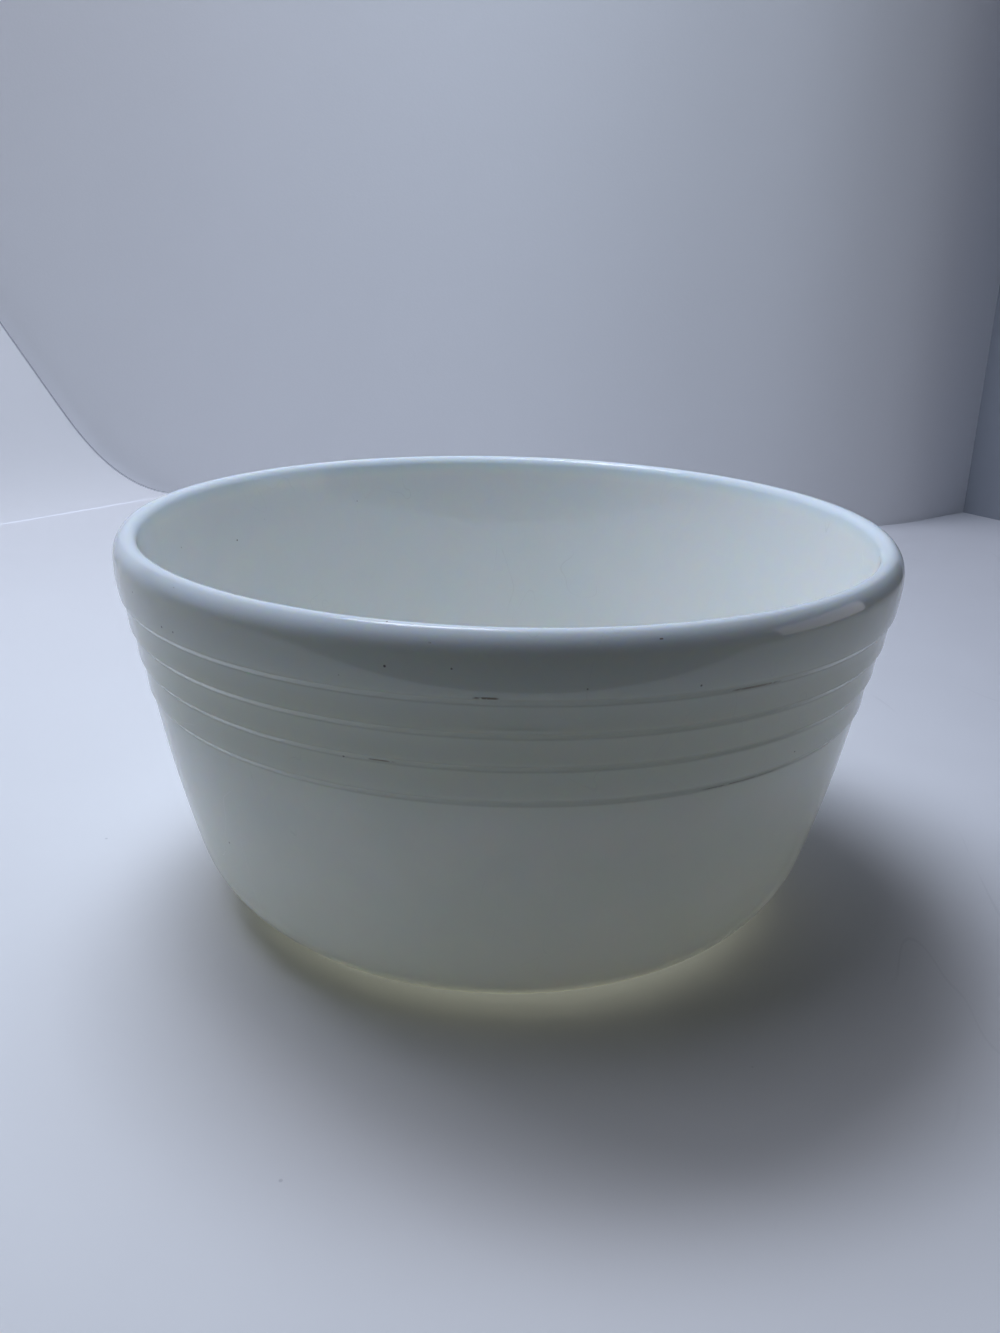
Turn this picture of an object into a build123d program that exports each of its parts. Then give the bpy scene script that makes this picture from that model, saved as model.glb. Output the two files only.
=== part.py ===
from build123d import *
import math
import os

# Round mixing-style rice bowl, pressed from one gather of opal glass.
# Millimetres, +Z up, origin on the table under the middle of the foot.

# Overall size
RIM_R = 82.5            # widest radius, just under the rim
HEIGHT = 83.5           # table to the top of the rim

# Rim: rolled over from the inside to the crown, then broadly down into the collar
LIP_OUT = 2.8           # from the crown out to the widest line
LIP_DROP = 4.4          # from the crown down to the widest line
LIP_IN_R = 2.1          # roundness of the inner half

# Collar and the three stepped bands under it
COLLAR_R = 81.85        # radius at the lower edge of the collar
LEDGE_Z = (71.8, 65.6, 59.3, 52.5)   # middle height of each ledge
LEDGE_DROP = 1.0        # height of one ledge
LEDGE_IN = 0.7          # how far one ledge steps inward
BAND_PITCH = 1.4        # each band's lower edge is this much smaller in radius
BAND_BULGE = 0.07       # outward swell in the middle of a band
LEDGE_ROUND = 0.3       # softened corners, as pressed glass has

# Plain wall and heel
WALL_LEAN = 15.5        # degrees from upright where the wall leaves the heel
HEEL_R = 24.75          # outside heel radius
HEEL_CR = 45.5          # radius of the circle the heel arc is swung from
HEEL_CZ = 23.75         # height of that circle

# Inside
IN_HEEL_R = 18.6
IN_HEEL_CR = 46.9
FLOOR_Z = 5.3           # top of the floor inside
IN_RIM_LEAN = 8.0       # degrees from upright where the inside meets the rim

# Foot
FOOT_IN_R = 46.0        # inner edge of the ring the bowl stands on
FOOT_DEPTH = 1.2        # depth of the shallow recess inside the ring
FOOT_EDGE = 1.0         # rounding of the foot's outer edge
RECESS_ROUND = 0.8      # rounding at the recess wall


def polar(centre_r, centre_z, radius, degrees):
    """Point on an arc swung from (centre_r, centre_z)."""
    a = math.radians(degrees)
    return (centre_r + radius * math.cos(a), centre_z + radius * math.sin(a))


def middle(p, q, swell=0.0):
    """Half-way point between p and q, pushed outward by swell."""
    return ((p[0] + q[0]) / 2 + swell, (p[1] + q[1]) / 2)


# Rim: the outer half is a tight arc and a broad one that meet at 45 degrees
crown_r = RIM_R - LIP_OUT
crown = (crown_r, HEIGHT)
widest = (RIM_R, HEIGHT - LIP_DROP)
half = math.cos(math.radians(45))
tight_r = (half * LIP_OUT - (1 - half) * LIP_DROP) / (2 * half - 1)
broad_r = (half * LIP_DROP - (1 - half) * LIP_OUT) / (2 * half - 1)
shoulder = polar(crown_r, HEIGHT - tight_r, tight_r, 45)
shoulder_mid = polar(crown_r, HEIGHT - tight_r, tight_r, 67.5)
broad_mid = polar(RIM_R - broad_r, widest[1], broad_r, 22.5)
in_cz = HEIGHT - LIP_IN_R
lip_mid = polar(crown_r, in_cz, LIP_IN_R, 130)
lip_end = polar(crown_r, in_cz, LIP_IN_R, 180 - IN_RIM_LEAN)

# Heel arcs, outside and inside
foot_angle = -math.degrees(math.asin(HEEL_CZ / HEEL_R))
foot_edge = polar(HEEL_CR, HEEL_CZ, HEEL_R, foot_angle)
heel_mid = polar(HEEL_CR, HEEL_CZ, HEEL_R, (foot_angle - WALL_LEAN) / 2)
heel_top = polar(HEEL_CR, HEEL_CZ, HEEL_R, -WALL_LEAN)
in_cz_heel = FLOOR_Z + IN_HEEL_R
in_heel_end = (IN_HEEL_CR, FLOOR_Z)
in_heel_mid = polar(IN_HEEL_CR, in_cz_heel, IN_HEEL_R, -(90 + WALL_LEAN) / 2)
in_heel_top = polar(IN_HEEL_CR, in_cz_heel, IN_HEEL_R, -WALL_LEAN)
lean = math.radians(WALL_LEAN)
wall_way = (math.sin(lean), math.cos(lean))

# Ledges: each has an outer edge on the band above and a root on the band below
edges = []
roots = []
for k, z in enumerate(LEDGE_Z):
    edges.append((COLLAR_R - BAND_PITCH * k, z + LEDGE_DROP / 2))
    roots.append((COLLAR_R - BAND_PITCH * k - LEDGE_IN, z - LEDGE_DROP / 2))

with BuildPart() as bowl:
    with BuildSketch(Plane.XZ) as section:
        with BuildLine():
            # outside, from the table up
            Line((FOOT_IN_R, 0), foot_edge)
            ThreePointArc(foot_edge, heel_mid, heel_top)
            TangentArc(heel_top, roots[-1], tangent=wall_way)
            for k in (3, 2, 1):
                Line(roots[k], edges[k])
                ThreePointArc(edges[k], middle(edges[k], roots[k - 1], BAND_BULGE), roots[k - 1])
            Line(roots[0], edges[0])
            # up the collar and over the rim
            TangentArc(widest, edges[0], tangent=(0, -1))
            ThreePointArc(widest, broad_mid, shoulder)
            ThreePointArc(shoulder, shoulder_mid, crown)
            ThreePointArc(crown, lip_mid, lip_end)
            # down the inside to the middle of the floor
            TangentArc(in_heel_top, lip_end, tangent=wall_way)
            ThreePointArc(in_heel_top, in_heel_mid, in_heel_end)
            Line(in_heel_end, (0, FLOOR_Z))
            # back along the underside
            Line((0, FLOOR_Z), (0, FOOT_DEPTH))
            Line((0, FOOT_DEPTH), (FOOT_IN_R - FOOT_DEPTH, FOOT_DEPTH))
            Line((FOOT_IN_R - FOOT_DEPTH, FOOT_DEPTH), (FOOT_IN_R, 0))
        make_face()

        def corners(points):
            """The section's vertices nearest to the given points."""
            return [section.vertices().sort_by_distance((p[0], 0, p[1]))[0] for p in points]

        fillet(corners(edges + roots), LEDGE_ROUND)
        fillet(corners([foot_edge]), FOOT_EDGE)
        fillet(corners([(FOOT_IN_R - FOOT_DEPTH, FOOT_DEPTH), (FOOT_IN_R, 0)]), RECESS_ROUND)
    revolve(axis=Axis.Z)

os.makedirs("parts", exist_ok=True)
export_step(bowl.part, "parts/bowl.step")
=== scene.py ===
import math
import bmesh
import bpy
from mathutils import Matrix, Vector


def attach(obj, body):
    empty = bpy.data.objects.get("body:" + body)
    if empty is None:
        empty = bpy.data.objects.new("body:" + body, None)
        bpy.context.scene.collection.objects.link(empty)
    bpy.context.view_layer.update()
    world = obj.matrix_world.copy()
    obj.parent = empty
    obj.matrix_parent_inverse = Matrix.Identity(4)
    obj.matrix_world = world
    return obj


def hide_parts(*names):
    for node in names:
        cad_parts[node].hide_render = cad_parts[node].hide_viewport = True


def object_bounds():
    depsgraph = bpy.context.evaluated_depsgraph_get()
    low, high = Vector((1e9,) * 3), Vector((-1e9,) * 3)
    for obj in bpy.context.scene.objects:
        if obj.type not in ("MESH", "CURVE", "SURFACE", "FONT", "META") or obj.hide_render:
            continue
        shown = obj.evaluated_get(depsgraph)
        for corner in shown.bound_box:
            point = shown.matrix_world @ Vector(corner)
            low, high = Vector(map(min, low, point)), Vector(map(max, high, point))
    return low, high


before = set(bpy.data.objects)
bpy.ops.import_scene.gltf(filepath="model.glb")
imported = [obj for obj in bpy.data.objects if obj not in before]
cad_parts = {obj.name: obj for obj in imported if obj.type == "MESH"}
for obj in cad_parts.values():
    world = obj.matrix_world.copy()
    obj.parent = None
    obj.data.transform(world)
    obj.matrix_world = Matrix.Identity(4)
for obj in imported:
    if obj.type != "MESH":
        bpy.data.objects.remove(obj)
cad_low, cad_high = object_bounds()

# An opal glass bowl, turned from one section. Everything is in metres, +Z up,
# with the middle of the foot at the origin.
MM = 0.001

# ---------------------------------------------------------------- sizes
RIM_R = min(cad_high.x, cad_high.y, -cad_low.x, -cad_low.y)   # widest radius, just under the rim
HEIGHT = cad_high.z                                           # table to the crown of the rim

LIP_OUT = 2.8 * MM             # from the crown of the rim out to the widest line
LIP_DROP = 4.4 * MM            # and down to it
LIP_IN_R = 2.1 * MM            # roundness of the rim's inner half

COLLAR_R = 81.85 * MM          # lower edge of the collar
LEDGE_Z = [z * MM for z in (71.8, 65.6, 59.3, 52.5)]   # middle height of each ledge
LEDGE_DROP = 1.0 * MM
LEDGE_IN = 0.7 * MM
BAND_PITCH = 1.4 * MM
BAND_BULGE = 0.07 * MM
LEDGE_ROUND = 0.3 * MM

WALL_LEAN = math.radians(15.5)
HEEL_R = 24.75 * MM
HEEL_CENTRE = (45.5 * MM, 23.75 * MM)
FLOOR_Z = 5.3 * MM
IN_HEEL_R = 18.6 * MM
IN_HEEL_CENTRE = (46.9 * MM, FLOOR_Z + IN_HEEL_R)
IN_RIM_LEAN = 8.0

FOOT_IN_R = 46.0 * MM
FOOT_DEPTH = 1.2 * MM
FOOT_EDGE = 1.0 * MM
RECESS_ROUND = 0.8 * MM

TURN_STEPS = 320               # faces round the bowl


# ---------------------------------------------------------------- the section
def arc(centre, radius, start, end, steps):
    """Points on an arc, from start to end degrees."""
    points = []
    for i in range(steps + 1):
        a = math.radians(start + (end - start) * i / steps)
        points.append((centre[0] + radius * math.cos(a), centre[1] + radius * math.sin(a)))
    return points


def arc_leaving(start, way, end, steps):
    """Points on the arc that leaves start along way and arrives at end."""
    side = Vector((-way[1], way[0]))
    chord = Vector(end) - Vector(start)
    radius = chord.length_squared / (2 * chord.dot(side))
    centre = Vector(start) + side * radius
    turn = 2 * math.asin(chord.length / (2 * abs(radius)))
    if radius < 0:
        turn = -turn
    spoke = Vector(start) - centre
    points = []
    for i in range(steps + 1):
        points.append(tuple(centre + Matrix.Rotation(turn * i / steps, 2) @ spoke))
    return points


def bowed(p, q, swell, steps):
    """Points from p to q along a run that swells to its right in the middle."""
    p = Vector(p)
    q = Vector(q)
    side = Vector((q.y - p.y, p.x - q.x)).normalized()
    return [tuple(p.lerp(q, i / steps) + side * 4 * swell * (i / steps) * (1 - i / steps))
            for i in range(1, steps)]


def round_corner(before, corner, after, radius, steps):
    """The arc that softens a corner between two straight runs."""
    corner = Vector(corner)
    u = (Vector(before) - corner).normalized()
    v = (Vector(after) - corner).normalized()
    half = u.angle(v) / 2
    centre = corner + (u + v).normalized() * radius / math.sin(half)
    first = corner + u * radius / math.tan(half) - centre
    last = corner + v * radius / math.tan(half) - centre
    turn = first.angle_signed(last)
    return [tuple(centre + Matrix.Rotation(-turn * i / steps, 2) @ first) for i in range(steps + 1)]


def ring_runs(first_r, last_r, z, steps):
    """Points along a flat face, from one radius to another."""
    return [(first_r + (last_r - first_r) * i / steps, z) for i in range(1, steps)]


def bowl_section():
    """The half section as (radius, height): floor inside, rim, outside, underside."""
    crown_r = RIM_R - LIP_OUT
    lean = math.degrees(WALL_LEAN)
    wall_way = (math.sin(WALL_LEAN), math.cos(WALL_LEAN))

    # inside: floor, heel, wall and the inner half of the rim
    in_heel = arc(IN_HEEL_CENTRE, IN_HEEL_R, -90, -lean, 20)
    in_lip = arc((crown_r, HEIGHT - LIP_IN_R), LIP_IN_R, 180 - IN_RIM_LEAN, 90, 14)
    in_wall = arc_leaving(in_heel[-1], wall_way, in_lip[0], 18)
    section = [(0, FLOOR_Z)] + ring_runs(0, IN_HEEL_CENTRE[0], FLOOR_Z, 8)
    section += in_heel + in_wall[1:] + in_lip[1:]

    # outer half of the rim: a tight arc and a broad one that meet at 45 degrees, then the collar
    half = math.cos(math.radians(45))
    tight_r = (half * LIP_OUT - (1 - half) * LIP_DROP) / (2 * half - 1)
    broad_r = (half * LIP_DROP - (1 - half) * LIP_OUT) / (2 * half - 1)
    widest = (RIM_R, HEIGHT - LIP_DROP)
    section += arc((crown_r, HEIGHT - tight_r), tight_r, 90, 45, 8)[1:]
    section += arc((RIM_R - broad_r, widest[1]), broad_r, 45, 0, 10)[1:]
    corners = []
    for k, z in enumerate(LEDGE_Z):
        edge_r = COLLAR_R - BAND_PITCH * k
        corners.append((edge_r, z + LEDGE_DROP / 2))
        corners.append((edge_r - LEDGE_IN, z - LEDGE_DROP / 2))
    collar = arc_leaving(widest, (0, -1), corners[0], 10)
    section += collar[1:-1]

    # the ledges and bands, each with a softened edge and root
    foot_angle = -math.degrees(math.asin(HEEL_CENTRE[1] / HEEL_R))
    heel = arc(HEEL_CENTRE, HEEL_R, -lean, foot_angle, 24)
    wall = arc_leaving(heel[0], wall_way, corners[-1], 18)
    wall.reverse()
    line = [collar[-2]] + corners + [wall[1]]
    for k in range(1, len(line) - 1):
        softened = round_corner(line[k - 1], line[k], line[k + 1], LEDGE_ROUND, 5)
        if k > 1:
            on_band = k % 2 == 1
            swell, steps = (BAND_BULGE, 6) if on_band else (0, 2)
            section += bowed(section[-1], softened[0], swell, steps)
        section += softened

    # outside wall, heel, foot ring, recess
    section += wall[1:] + heel[1:-1]
    section += round_corner(heel[-2], heel[-1], (FOOT_IN_R, 0), FOOT_EDGE, 4)
    recess_r = FOOT_IN_R - FOOT_DEPTH
    section += round_corner(heel[-1], (FOOT_IN_R, 0), (recess_r, FOOT_DEPTH), RECESS_ROUND, 4)
    section += round_corner((FOOT_IN_R, 0), (recess_r, FOOT_DEPTH), (0, FOOT_DEPTH), RECESS_ROUND, 4)
    section += ring_runs(recess_r, 0, FOOT_DEPTH, 8) + [(0, FOOT_DEPTH)]
    return section


# ---------------------------------------------------------------- turning the section
def turning_tree():
    """Geometry nodes that turn a section, drawn in the XZ plane, about Z."""
    tree = bpy.data.node_groups.new("turn_section", "GeometryNodeTree")
    face = tree.interface
    face.new_socket("Section", in_out="INPUT", socket_type="NodeSocketGeometry")
    steps = face.new_socket("Turn steps", in_out="INPUT", socket_type="NodeSocketInt")
    steps.default_value = 64
    swing = face.new_socket("Swing radius", in_out="INPUT", socket_type="NodeSocketFloat")
    swing.default_value = 0.05
    weld = face.new_socket("Weld distance", in_out="INPUT", socket_type="NodeSocketFloat")
    weld.default_value = 0.00001
    face.new_socket("Glass", in_out="INPUT", socket_type="NodeSocketMaterial")
    face.new_socket("Bowl", in_out="OUTPUT", socket_type="NodeSocketGeometry")

    def node(kind, x, **settings):
        made = tree.nodes.new(kind)
        made.location = (x, 0)
        for name, value in settings.items():
            setattr(made, name, value)
        return made

    def join(source, output, target, name):
        tree.links.new(source.outputs[output], target.inputs[name])

    start = node("NodeGroupInput", -900)
    end = node("NodeGroupOutput", 900)
    line = node("GeometryNodeMeshToCurve", -700)
    join(start, "Section", line, "Mesh")
    back = node("ShaderNodeMath", -700, operation="MULTIPLY")
    back.inputs[1].default_value = -1
    join(start, "Swing radius", back, 0)
    shift = node("ShaderNodeCombineXYZ", -500)
    join(back, 0, shift, "X")
    flat = node("GeometryNodeTransform", -300)
    flat.inputs["Rotation"].default_value = (math.radians(90), 0, 0)
    join(line, "Curve", flat, "Geometry")
    join(shift, "Vector", flat, "Translation")
    circle = node("GeometryNodeCurvePrimitiveCircle", -300)
    join(start, "Turn steps", circle, "Resolution")
    join(start, "Swing radius", circle, "Radius")
    upright = node("GeometryNodeSetCurveNormal", -100, mode="Z_UP")
    join(circle, "Curve", upright, "Curve")
    turned = node("GeometryNodeCurveToMesh", 100)
    join(upright, "Curve", turned, "Curve")
    join(flat, "Geometry", turned, "Profile Curve")
    welded = node("GeometryNodeMergeByDistance", 300)
    join(turned, "Mesh", welded, "Geometry")
    join(start, "Weld distance", welded, "Distance")
    real = node("GeometryNodeRealizeInstances", 500)
    join(welded, "Geometry", real, "Geometry")
    glazed = node("GeometryNodeSetMaterial", 700)
    join(real, "Geometry", glazed, "Geometry")
    join(start, "Glass", glazed, "Material")
    join(glazed, "Geometry", end, "Bowl")
    return tree


def turned_piece(name, section, glass):
    """One closed solid turned from a section given as (radius, height) points."""
    outline = bpy.data.meshes.new(name + "_section")
    points = [(r, 0, z) for r, z in section]
    outline.from_pydata(points, [(i, i + 1) for i in range(len(points) - 1)], [])
    piece = bpy.data.objects.new(name, outline)
    bpy.context.scene.collection.objects.link(piece)
    turn = piece.modifiers.new("turn", "NODES")
    turn.node_group = turning_tree()
    values = {"Turn steps": TURN_STEPS, "Swing radius": RIM_R / 2, "Weld distance": 0.001 * MM,
              "Glass": glass}
    for socket in turn.node_group.interface.items_tree:
        if socket.name in values and socket.in_out == "INPUT":
            turn[socket.identifier] = values[socket.name]
    view = bpy.context.evaluated_depsgraph_get()
    mesh = bpy.data.meshes.new_from_object(piece.evaluated_get(view))
    piece.modifiers.remove(turn)
    piece.data = mesh
    mesh.name = name
    tidy = bmesh.new()
    tidy.from_mesh(mesh)
    bmesh.ops.remove_doubles(tidy, verts=tidy.verts, dist=0.001 * MM)
    bmesh.ops.recalc_face_normals(tidy, faces=tidy.faces)
    tidy.to_mesh(mesh)
    tidy.free()
    mesh.shade_smooth()
    return piece


# ---------------------------------------------------------------- materials
class Finish:
    """A material under construction, with short ways to add and join nodes."""

    def __init__(self, name):
        self.material = bpy.data.materials.new(name)
        self.material.use_nodes = True
        self.tree = self.material.node_tree
        self.tree.nodes.clear()
        self.shader = self.add("ShaderNodeBsdfPrincipled")
        self.output = self.add("ShaderNodeOutputMaterial")
        self.tree.links.new(self.shader.outputs[0], self.output.inputs["Surface"])
        self.place = self.add("ShaderNodeTexCoord").outputs["Object"]

    def add(self, kind, **settings):
        made = self.tree.nodes.new(kind)
        for name, value in settings.items():
            setattr(made, name, value)
        return made

    def feed(self, socket, value):
        if isinstance(value, bpy.types.NodeSocket):
            self.tree.links.new(value, socket)
        else:
            socket.default_value = value

    def maths(self, operation, a, b=0.0, c=0.0):
        made = self.add("ShaderNodeMath", operation=operation)
        for socket, value in zip(made.inputs, (a, b, c)):
            self.feed(socket, value)
        return made.outputs[0]

    def fade(self, value, start, end, low=0.0, high=1.0):
        """Smoothly from low to high while value goes from start to end."""
        made = self.add("ShaderNodeMapRange", interpolation_type="SMOOTHSTEP", clamp=True)
        for name, number in (("Value", value), ("From Min", start), ("From Max", end),
                             ("To Min", low), ("To Max", high)):
            self.feed(made.inputs[name], number)
        return made.outputs[0]

    def noise(self, size, detail=2.0, where=None, rough=0.5, twist=0.0):
        """Noise whose features are about size metres across."""
        made = self.add("ShaderNodeTexNoise")
        self.feed(made.inputs["Vector"], where or self.place)
        made.inputs["Scale"].default_value = 1 / size
        made.inputs["Detail"].default_value = detail
        made.inputs["Roughness"].default_value = rough
        made.inputs["Distortion"].default_value = twist
        return made.outputs[0]

    def cells(self, size, where=None):
        """(distance to the nearest seed, that seed's random number)."""
        made = self.add("ShaderNodeTexVoronoi")
        self.feed(made.inputs["Vector"], where or self.place)
        made.inputs["Scale"].default_value = 1 / size
        split = self.add("ShaderNodeSeparateColor")
        self.feed(split.inputs[0], made.outputs["Color"])
        return made.outputs["Distance"], split.outputs[0]

    def tint(self, amount, colour_a, colour_b):
        made = self.add("ShaderNodeMix", data_type="RGBA")
        self.feed(made.inputs["Factor"], amount)
        self.feed(made.inputs["A"], colour_a)
        self.feed(made.inputs["B"], colour_b)
        return made.outputs["Result"]

    def length(self, a, b):
        squares = (self.maths("MULTIPLY", a, a), self.maths("MULTIPLY", b, b))
        return self.maths("SQRT", self.maths("ADD", *squares))

    def away(self, value, middle):
        """How far value is from middle, either way."""
        return self.maths("ABSOLUTE", self.maths("SUBTRACT", value, middle))

    def scaled(self, amounts):
        made = self.add("ShaderNodeMapping")
        self.feed(made.inputs["Vector"], self.place)
        made.inputs["Scale"].default_value = amounts
        return made.outputs[0]

    def relief(self, height, distance, strength=1.0, under=None):
        made = self.add("ShaderNodeBump")
        made.inputs["Strength"].default_value = strength
        made.inputs["Distance"].default_value = distance
        self.feed(made.inputs["Height"], height)
        if under is not None:
            self.feed(made.inputs["Normal"], under)
        return made.outputs[0]


# colours of the glass, each pair light and dark in the cloudiness
INSIDE_MILK = ((0.90, 0.968, 0.97, 1), (0.92, 0.98, 0.98, 1))
OUTSIDE_MILK = ((0.85, 0.90, 0.82, 1), (0.88, 0.93, 0.85, 1))
# painted shade: the band and collar tones are partly darkened and warmed for the shade on them
BAND_TONE_AND_SHADE = (0.79, 0.83, 0.71, 1)
COLLAR_TONE_AND_SHADE = (0.78, 0.83, 0.76, 1)
# painted reflection: the rim's cooler tone partly stands for bluish light reflected on it
RIM_TONE_AND_REFLECTION = (0.77, 0.84, 0.93, 1)
THROUGH_TONE = (1.0, 0.945, 0.80, 1)   # light that has passed the wall

# colours of the wear
# painted shade: the ledge film partly stands for shade in the steps
LEDGE_FILM_AND_SHADE_TONE = (0.46, 0.48, 0.38, 1)
DIRT_TONE = (0.16, 0.105, 0.05, 1)
SPECK_TONE = (0.10, 0.085, 0.07, 1)
HAIR_TONE = (0.42, 0.43, 0.43, 1)
RUB_TONE = (0.50, 0.51, 0.51, 1)

# share of the light that passes the glass
THROUGH_COLLAR = 0.03
THROUGH_WALL = 0.22            # low on the wall
THROUGH_INSIDE = 0.50          # inside of the heel
THROUGH_HEEL = 0.80            # outside of the heel, next to the table

# the surface between inside and outside, as a distance from a ring that leans with the wall
SKIN_R = 46.2 * MM             # radius of the ring
SKIN_Z = 23.8 * MM             # height of the ring
SKIN_FROM = 17 * MM            # height where the lean begins
SKIN_LEAN = 0.205              # lean of the wall, radius per height
SKIN_INSIDE = 21.2 * MM        # nearer than this is the inside
SKIN_OUTSIDE = 22.2 * MM       # further than this is the outside

# patches of dirt: height, first and last degree round the bowl (front is -90), half width
GRIME = [(LEDGE_Z[0] + 0.9 * MM, -93.6, -90.4, 0.24 * MM),
         (LEDGE_Z[0] - 0.2 * MM, -63.5, -55.5, 0.30 * MM),
         (LEDGE_Z[2] - 0.1 * MM, -106.5, -102.5, 0.25 * MM),
         (LEDGE_Z[3] - 0.3 * MM, -64.5, -50.5, 0.25 * MM),
         (HEIGHT - 1.6 * MM, -73.2, -72.7, 0.16 * MM),
         (HEIGHT - 2.2 * MM, -98.3, -97.9, 0.14 * MM),
         (HEIGHT - 1.2 * MM, -134.4, -134.0, 0.14 * MM)]


def opal_glass():
    """Fire-polished white opal glass with handling wear, a little grime in the ledges, painted shade
    on the bands, collar and ledges, and a painted bluish reflection on the rim.
    """
    f = Finish("fire_polished_opal")
    split = f.add("ShaderNodeSeparateXYZ")
    f.feed(split.inputs[0], f.place)
    x, y, z = split.outputs
    radius = f.length(x, y)

    # which side of the wall
    up_wall = f.maths("MAXIMUM", f.maths("SUBTRACT", z, SKIN_FROM), 0)
    lean_r = f.maths("SUBTRACT", radius, f.maths("MULTIPLY", up_wall, SKIN_LEAN))
    out_r = f.maths("MAXIMUM", f.maths("SUBTRACT", lean_r, SKIN_R), 0)
    below = f.maths("MINIMUM", f.maths("SUBTRACT", z, SKIN_Z), 0)
    outside = f.fade(f.length(out_r, below), SKIN_INSIDE, SKIN_OUTSIDE)

    # body colour: milky and faintly cloudy, with bands and collar darker and warmer, partly painted
    # shade, and a cooler rim, partly a painted bluish reflection
    cloud = f.fade(f.noise(24 * MM, 4, rough=0.55), 0.35, 0.65)
    outer = f.tint(cloud, *OUTSIDE_MILK)
    # painted shade: bands and collar darker and warmer, partly for the shade on them
    outer = f.tint(f.fade(z, 46 * MM, 60 * MM), outer, BAND_TONE_AND_SHADE)
    outer = f.tint(f.fade(z, 66 * MM, 76 * MM), outer, COLLAR_TONE_AND_SHADE)
    colour = f.tint(outside, f.tint(cloud, *INSIDE_MILK), outer)
    # painted reflection: a cooler rim, partly for bluish light reflected on it
    rim = f.fade(z, HEIGHT - 4.5 * MM, HEIGHT - 1.2 * MM)
    colour = f.tint(rim, colour, RIM_TONE_AND_REFLECTION)

    # a dull film along the ledges, partly painted shade in the steps
    ledge_film_and_shade = 0.0
    for height in LEDGE_Z:
        on_ledge = f.fade(f.away(z, height), 0.5 * MM, 1.0 * MM, 1, 0)
        ledge_film_and_shade = f.maths("MAXIMUM", ledge_film_and_shade, on_ledge)
    ledge_film_and_shade = f.maths("MULTIPLY", ledge_film_and_shade, outside)
    colour = f.tint(f.maths("MULTIPLY", ledge_film_and_shade, 0.45), colour, LEDGE_FILM_AND_SHADE_TONE)

    # grime: short brown dashes caught in the ledges, and nicks in the rim
    angle = f.maths("ARCTAN2", y, x)
    patch = f.fade(f.noise(1.6 * MM, 3, rough=0.6), 0.36, 0.56)
    grime = 0.0
    for height, first, last, half_width in GRIME:
        half_turn = math.radians(last - first) / 2
        along = f.away(angle, math.radians((first + last) / 2))
        near = f.maths("MULTIPLY", f.fade(f.away(z, height), half_width * 0.4, half_width, 1, 0),
                       f.fade(along, half_turn * 0.6, half_turn, 1, 0))
        grime = f.maths("MAXIMUM", grime, near)
    grime = f.maths("MULTIPLY", f.maths("MULTIPLY", grime, patch), outside)
    colour = f.tint(f.maths("MULTIPLY", grime, 0.85), colour, DIRT_TONE)

    # specks: tiny dark inclusions and dust, most on the collar and rim, fewest inside
    gap, lot = f.cells(2.6 * MM)
    crowd = f.fade(z, 50 * MM, 72 * MM, 0.985, 0.86)
    crowd = f.maths("ADD", crowd, f.maths("MULTIPLY", f.maths("SUBTRACT", 1, outside), 0.08))
    speck = f.maths("MULTIPLY", f.fade(gap, 0.05, 0.11, 1, 0), f.maths("GREATER_THAN", lot, crowd))
    colour = f.tint(f.maths("MULTIPLY", speck, 0.85), colour, SPECK_TONE)

    # hair scratches: thin wandering lines, only in worn places
    lines = f.noise(16 * MM, 2, where=f.scaled((1.0, 1.0, 0.45)), twist=0.6)
    worn = f.fade(f.noise(30 * MM, 3), 0.52, 0.62)
    hair = f.maths("MULTIPLY", f.fade(f.away(lines, 0.5), 0.0008, 0.0022, 1, 0), worn)
    colour = f.tint(f.maths("MULTIPLY", hair, 0.18), colour, HAIR_TONE)

    # utensil rub on the floor inside: soft grey arcs
    rub_line = f.noise(5 * MM, 3, where=f.scaled((0.35, 1.0, 1.0)), twist=1.4)
    rub = f.fade(f.away(rub_line, 0.5), 0.006, 0.02, 1, 0)
    low_inside = f.maths("MULTIPLY", f.fade(z, FLOOR_Z + 6 * MM, FLOOR_Z - MM),
                         f.fade(z, FLOOR_Z - 1.5 * MM, FLOOR_Z - MM))
    rub = f.maths("MULTIPLY", f.maths("MULTIPLY", rub, low_inside), f.noise(18 * MM, 2))
    colour = f.tint(f.maths("MULTIPLY", rub, 0.35), colour, RUB_TONE)
    f.feed(f.shader.inputs["Base Color"], colour)

    # gloss: fire-polished, a little duller on the crown of the rim and ground on the foot
    rough = f.fade(f.noise(12 * MM, 5, rough=0.65), 0.3, 0.75, 0.03, 0.065)
    crown = f.fade(z, HEIGHT - 1.4 * MM, HEIGHT)
    crown_wear = f.fade(f.noise(3 * MM, 4), 0.4, 0.7, 0, 0.03)
    rough = f.maths("ADD", rough, f.maths("MULTIPLY", crown, crown_wear))
    foot = f.maths("MULTIPLY", f.fade(z, 0.25 * MM, 0.05 * MM), f.fade(radius, 44 * MM, 46 * MM))
    rough = f.maths("ADD", rough, f.maths("MULTIPLY", foot, 0.35))
    rough = f.maths("ADD", rough, f.maths("MULTIPLY", f.maths("MAXIMUM", grime, hair), 0.3))
    f.feed(f.shader.inputs["Roughness"], rough)

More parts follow.
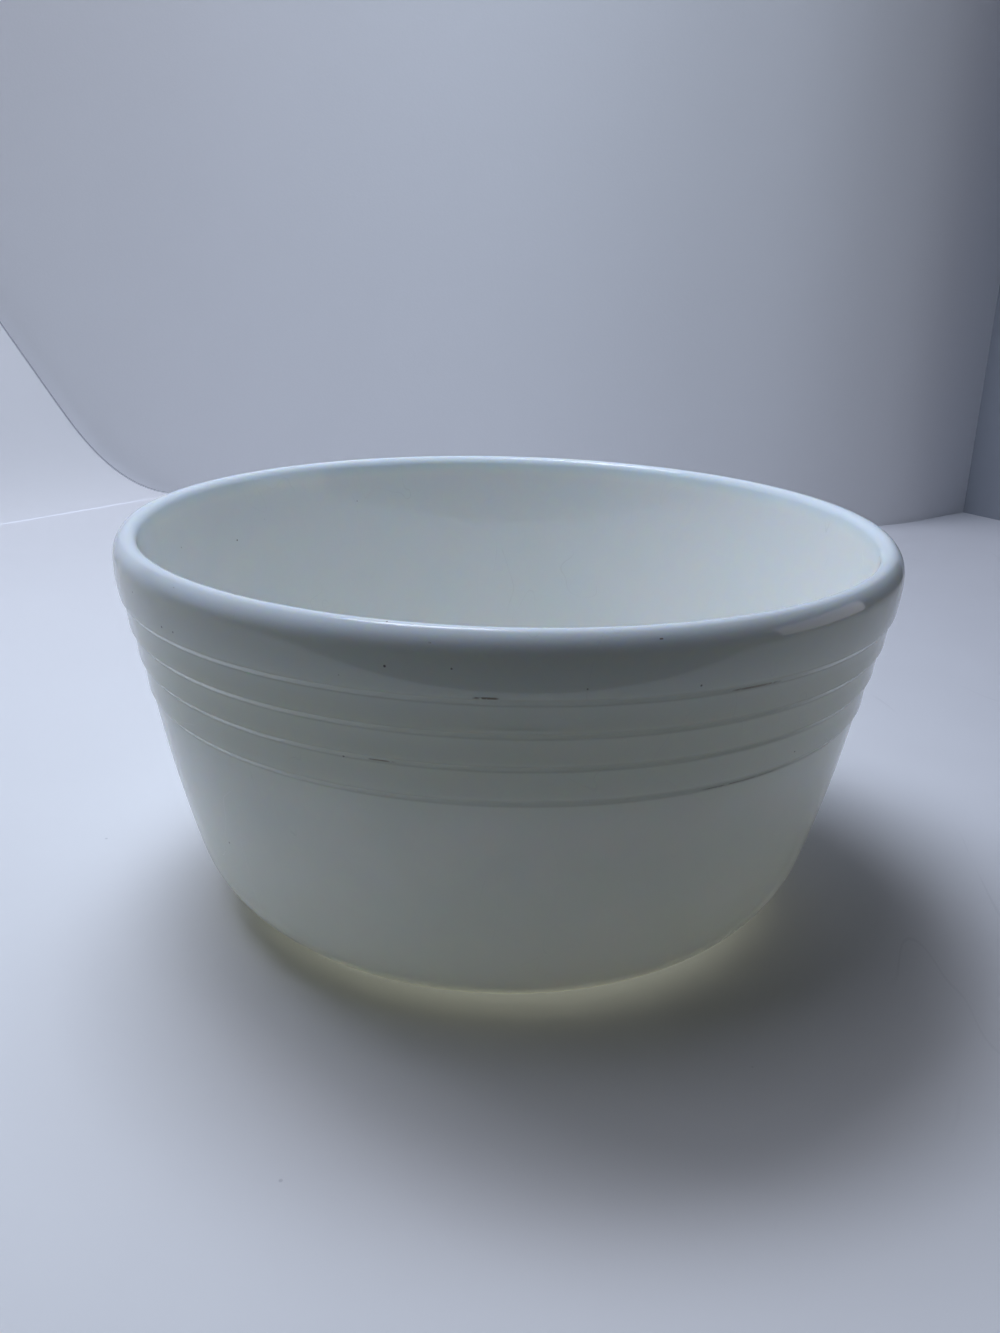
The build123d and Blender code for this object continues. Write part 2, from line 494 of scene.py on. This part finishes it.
    # relief: slow pressed-glass waviness, then pits, scratches and grime
    wave = f.relief(f.noise(26 * MM, 2), 0.04 * MM)
    ripple = f.relief(f.noise(4 * MM, 2), 0.0015 * MM, under=wave)
    pit_gap, pit_lot = f.cells(3.2 * MM)
    pit = f.maths("MULTIPLY", f.fade(pit_gap, 0.03, 0.10, 1, 0),
                  f.maths("GREATER_THAN", pit_lot, 0.90))
    worn_relief = f.maths("ADD", f.maths("MULTIPLY", pit, -0.6), f.maths("MULTIPLY", hair, -0.4))
    worn_relief = f.maths("ADD", worn_relief, f.maths("MULTIPLY", grime, 0.8))
    f.feed(f.shader.inputs["Normal"], f.relief(worn_relief, 0.03 * MM, under=ripple))

    f.shader.inputs["IOR"].default_value = 1.51
    f.shader.inputs["Subsurface Weight"].default_value = 1.0
    f.shader.inputs["Subsurface Radius"].default_value = (1.0, 0.86, 0.66)
    f.shader.inputs["Subsurface Scale"].default_value = 2.0 * MM

    # light that comes right through the wall, warmer than the milky surface, most of it at the heel
    glow = f.add("ShaderNodeBsdfTranslucent")
    glow.inputs["Color"].default_value = THROUGH_TONE
    blend = f.add("ShaderNodeMixShader")
    wall_share = f.fade(z, 10 * MM, 70 * MM, THROUGH_WALL, THROUGH_COLLAR)
    heel = f.maths("MULTIPLY", f.fade(z, 9 * MM, 3 * MM), f.fade(radius, 43 * MM, 47 * MM))
    heel_extra = f.maths("MULTIPLY", outside, THROUGH_HEEL - THROUGH_INSIDE)
    heel_share = f.maths("ADD", THROUGH_INSIDE, heel_extra)
    more = f.maths("MULTIPLY", heel, f.maths("SUBTRACT", heel_share, wall_share))
    share = f.maths("ADD", wall_share, more)
    f.feed(blend.inputs["Fac"], share)
    f.feed(blend.inputs[1], f.shader.outputs[0])
    f.feed(blend.inputs[2], glow.outputs[0])
    f.feed(f.output.inputs["Surface"], blend.outputs[0])
    return f.material


def table_top():
    """Pale table paper with faint scuffs and dust, with painted shade darkening it towards +X."""
    f = Finish("pale_table")
    shade = f.fade(f.noise(0.22, 3), 0.3, 0.7)
    colour = f.tint(shade, (0.79, 0.80, 0.835, 1), (0.81, 0.82, 0.855, 1))
    split = f.add("ShaderNodeSeparateXYZ")
    f.feed(split.inputs[0], f.place)
    # painted shade: the table is darker towards +X, where less light falls
    painted_shade_rightward = f.fade(split.outputs[0], 0.0, 0.20)
    colour = f.tint(painted_shade_rightward, colour, (0.67, 0.68, 0.73, 1))
    lines = f.noise(0.09, 3, where=f.scaled((1.0, 0.35, 1.0)), twist=0.8)
    worn = f.fade(f.noise(0.07, 2), 0.57, 0.66)
    scuff = f.maths("MULTIPLY", f.fade(f.away(lines, 0.5), 0.0012, 0.004, 1, 0), worn)
    gap, lot = f.cells(16 * MM)
    dust = f.maths("MULTIPLY", f.fade(gap, 0.012, 0.03, 1, 0), f.maths("GREATER_THAN", lot, 0.85))
    marks = f.maths("MAXIMUM", f.maths("MULTIPLY", scuff, 0.10), f.maths("MULTIPLY", dust, 0.35))
    f.feed(f.shader.inputs["Base Color"], f.tint(marks, colour, (0.32, 0.33, 0.38, 1)))
    f.feed(f.shader.inputs["Roughness"], f.fade(f.noise(0.03, 4), 0.3, 0.7, 0.55, 0.7))
    return f.material


def paper(name, light, dark):
    """Matt backdrop paper with a fine tooth."""
    f = Finish(name)
    f.feed(f.shader.inputs["Base Color"], f.tint(f.noise(0.3, 2), light, dark))
    f.feed(f.shader.inputs["Normal"], f.relief(f.noise(1.2 * MM, 2), 0.05 * MM))
    f.shader.inputs["Roughness"].default_value = 0.8
    return f.material


# ---------------------------------------------------------------- the bowl
glass = opal_glass()
bowl = turned_piece("opal_bowl", bowl_section(), glass)
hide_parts("bowl")
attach(bowl, "root")


# ---------------------------------------------------------------- the stage
def standing_sheet(name, foot_line, height, finish):
    """A sheet that stands on the table along a smooth line."""
    curve = bpy.data.curves.new(name, "CURVE")
    curve.dimensions = "3D"
    curve.resolution_u = 24
    spline = curve.splines.new("BEZIER")
    spline.bezier_points.add(len(foot_line) - 1)
    for point, (px, py) in zip(spline.bezier_points, foot_line):
        point.co = (px, py, 0)
        point.handle_left_type = "AUTO"
        point.handle_right_type = "AUTO"
    curve.extrude = height / 2
    sheet = bpy.data.objects.new(name, curve)
    sheet.location.z = height / 2
    bpy.context.scene.collection.objects.link(sheet)
    curve.materials.append(finish)


def lying_sheet(name, points, faces, finish):
    """A sheet made of flat faces."""
    mesh = bpy.data.meshes.new(name)
    mesh.from_pydata(points, [], faces)
    mesh.materials.append(finish)
    sheet = bpy.data.objects.new(name, mesh)
    bpy.context.scene.collection.objects.link(sheet)
    return sheet


ONE_FACE = [(0, 1, 2, 3)]
CLEAR = 0.0005                 # clear of the table top
FLOOR_REACH = 6.0
floor_corners = [(-FLOOR_REACH, -FLOOR_REACH, 0), (FLOOR_REACH, -FLOOR_REACH, 0),
                 (FLOOR_REACH, FLOOR_REACH, 0), (-FLOOR_REACH, FLOOR_REACH, 0)]
table_paper = table_top()
floor = lying_sheet("table_top", floor_corners, ONE_FACE, table_paper)

# painted shade: a dark card stands in for the unlit room in front; only the glass and the bounced
# light see it
UNLIT_ROOM_SHADE_CARD = [(-1.2, -1.2, CLEAR), (1.2, -1.2, CLEAR), (1.2, -0.102, CLEAR), (-1.2, -0.254, CLEAR)]
# painted shade: the card's near-black paper stands for the unlit room
unlit_room_paper = paper("unlit_room_shade_paper", (0.045, 0.047, 0.05, 1), (0.055, 0.057, 0.06, 1))
card = lying_sheet("dark_card", UNLIT_ROOM_SHADE_CARD, ONE_FACE, unlit_room_paper)
card.visible_camera = False
card.visible_shadow = False

backdrop = paper("backdrop_paper", (0.74, 0.75, 0.79, 1), (0.77, 0.78, 0.81, 1))
# painted shade: the side sheet's paper is dark for a side wall in shade
side_paper_painted_shade = paper("side_paper_painted_shade", (0.30, 0.32, 0.37, 1), (0.34, 0.36, 0.41, 1))
SHEET_HEIGHT = 0.5
BACKDROP_FOOT = [(-0.60, 0.46), (-0.30, 0.43), (-0.208, 0.427), (-0.1, 0.40), (0.1, 0.372),
                 (0.2, 0.386), (0.269, 0.432)]
SIDE_FOOT = [BACKDROP_FOOT[-1], (0.33, 0.34)]
standing_sheet("backdrop", BACKDROP_FOOT, SHEET_HEIGHT, backdrop)
standing_sheet("side_sheet", SIDE_FOOT, SHEET_HEIGHT, side_paper_painted_shade)

# the left edge of the table paper lifts off the table: flat in front, steep at the backdrop
CURL_START = 0.196             # to the left of the bowl's axis, at the backdrop
CURL_TILT = math.radians(58)   # up the lean
CURL_LENGTH = 0.09             # bent part
CURL_REACH = 0.30              # straight part, up the lean
CURL_STEPS = 16
CURL_ENDS = (0.02, 0.422)      # along the sheet
CURL_SPREAD = 0.30             # the fold runs outward as it comes forward
curl = [(CURL_START, 0.0)]
for i in range(CURL_STEPS + 1):
    bend = min(1, (i + 0.5) / CURL_STEPS)
    tilt = CURL_TILT * bend * (2 - bend)
    step = CURL_LENGTH / CURL_STEPS if i < CURL_STEPS else CURL_REACH
    curl.append((curl[-1][0] + step * math.cos(tilt), curl[-1][1] + step * math.sin(tilt)))
curl_points = []
for i in range(CURL_STEPS + 1):
    share = i / CURL_STEPS
    lift = share * share * (3 - 2 * share)
    row_y = CURL_ENDS[0] + (CURL_ENDS[1] - CURL_ENDS[0]) * share
    outward = CURL_SPREAD * (1 - share)
    curl_points += [(-r - outward, row_y, h * lift + CLEAR) for r, h in curl]
across = len(curl)
curl_faces = []
for k in range(CURL_STEPS):
    for i in range(across - 1):
        low = k * across + i
        curl_faces.append((low, low + 1, low + across + 1, low + across))
curled = lying_sheet("curled_edge", curl_points, curl_faces, table_paper)
curled.data.shade_smooth()
curled.visible_shadow = False

# the cut end of that sheet, its paper painted dark as shade where it meets the backdrop
CUT_ENDS = (CURL_ENDS[1], CURL_ENDS[1] + 0.002)
cut_points = [(-r, y, h + 2 * CLEAR) for r, h in curl for y in CUT_ENDS]
cut_faces = [(2 * i, 2 * i + 1, 2 * i + 3, 2 * i + 2) for i in range(across - 1)]
shaded_paper = paper("shaded_edge", (0.34, 0.35, 0.39, 1), (0.38, 0.39, 0.43, 1))
seam = lying_sheet("sheet_end", cut_points, cut_faces, shaded_paper)
seam.visible_shadow = False


# ---------------------------------------------------------------- light
def softbox(name, place, aim, size, watts, colour, mirrored=False):
    """A soft rectangular lamp at place, turned to aim; reflections show it only if mirrored."""
    lamp = bpy.data.lights.new(name, "AREA")
    lamp.shape = "RECTANGLE"
    lamp.size, lamp.size_y = size
    lamp.energy = watts
    lamp.color = colour
    box = bpy.data.objects.new(name, lamp)
    box.location = place
    box.rotation_mode = "QUATERNION"
    box.rotation_quaternion = (Vector(aim) - Vector(place)).to_track_quat("-Z", "Y")
    box.visible_camera = False
    box.visible_glossy = mirrored
    bpy.context.scene.collection.objects.link(box)


bowl_middle = (0, 0, HEIGHT / 2)
DAYLIGHT = (0.84, 0.88, 1.0)
SKYLIGHT = (0.68, 0.83, 1.0)
BOUNCED = (0.95, 0.93, 1.0)
softbox("key_high", (-0.15, 0.21, 0.85), bowl_middle, (0.36, 0.22), 2.20, DAYLIGHT, mirrored=True)
softbox("key_near", (-0.08, 0.12, 0.45), bowl_middle, (0.20, 0.16), 0.60, SKYLIGHT)
softbox("tent_left", (-0.50, 0.25, 0.85), bowl_middle, (0.33, 0.35), 1.85, DAYLIGHT)
softbox("tent_front", (-0.17, -0.10, 0.85), bowl_middle, (0.33, 0.35), 1.25, DAYLIGHT)
softbox("tent_right", (0.80, 0.0, 0.18), bowl_middle, (0.5, 0.3), 0.42, BOUNCED, mirrored=True)

world = bpy.data.worlds.new("room")
world.use_nodes = True
room_light = world.node_tree.nodes["Background"]
room_light.inputs["Color"].default_value = (0.80, 0.88, 1.0, 1)
room_light.inputs["Strength"].default_value = 0.003
bpy.context.scene.world = world
bpy.context.scene.view_settings.view_transform = "Standard"
bpy.context.scene.view_settings.look = "None"

# ---------------------------------------------------------------- camera
CAMERA_BACK = 247.5 * MM       # in front of the bowl's axis
CAMERA_UP = 136.9 * MM
CAMERA_TURN = math.radians(-0.27)      # to the right of straight ahead
CAMERA_DOWN = math.radians(19.58)
CAMERA_ROLL = math.radians(1.454)
CAMERA_LENS = 31.2

camera_data = bpy.data.cameras.new("camera")
camera_data.lens = CAMERA_LENS
camera_data.sensor_width = 36
camera_data.clip_start = 0.01
camera_data.clip_end = 50
camera = bpy.data.objects.new("camera", camera_data)
ahead = Vector((math.sin(CAMERA_TURN) * math.cos(CAMERA_DOWN),
                math.cos(CAMERA_TURN) * math.cos(CAMERA_DOWN), -math.sin(CAMERA_DOWN)))
level = Vector((math.cos(CAMERA_TURN), -math.sin(CAMERA_TURN), 0))
upward = level.cross(ahead)
right = level * math.cos(CAMERA_ROLL) + upward * math.sin(CAMERA_ROLL)
upward = upward * math.cos(CAMERA_ROLL) - level * math.sin(CAMERA_ROLL)
camera.matrix_world = Matrix((
    (right.x, upward.x, -ahead.x, 0),
    (right.y, upward.y, -ahead.y, -CAMERA_BACK),
    (right.z, upward.z, -ahead.z, CAMERA_UP),
    (0, 0, 0, 1)))
bpy.context.scene.collection.objects.link(camera)
bpy.context.scene.camera = camera
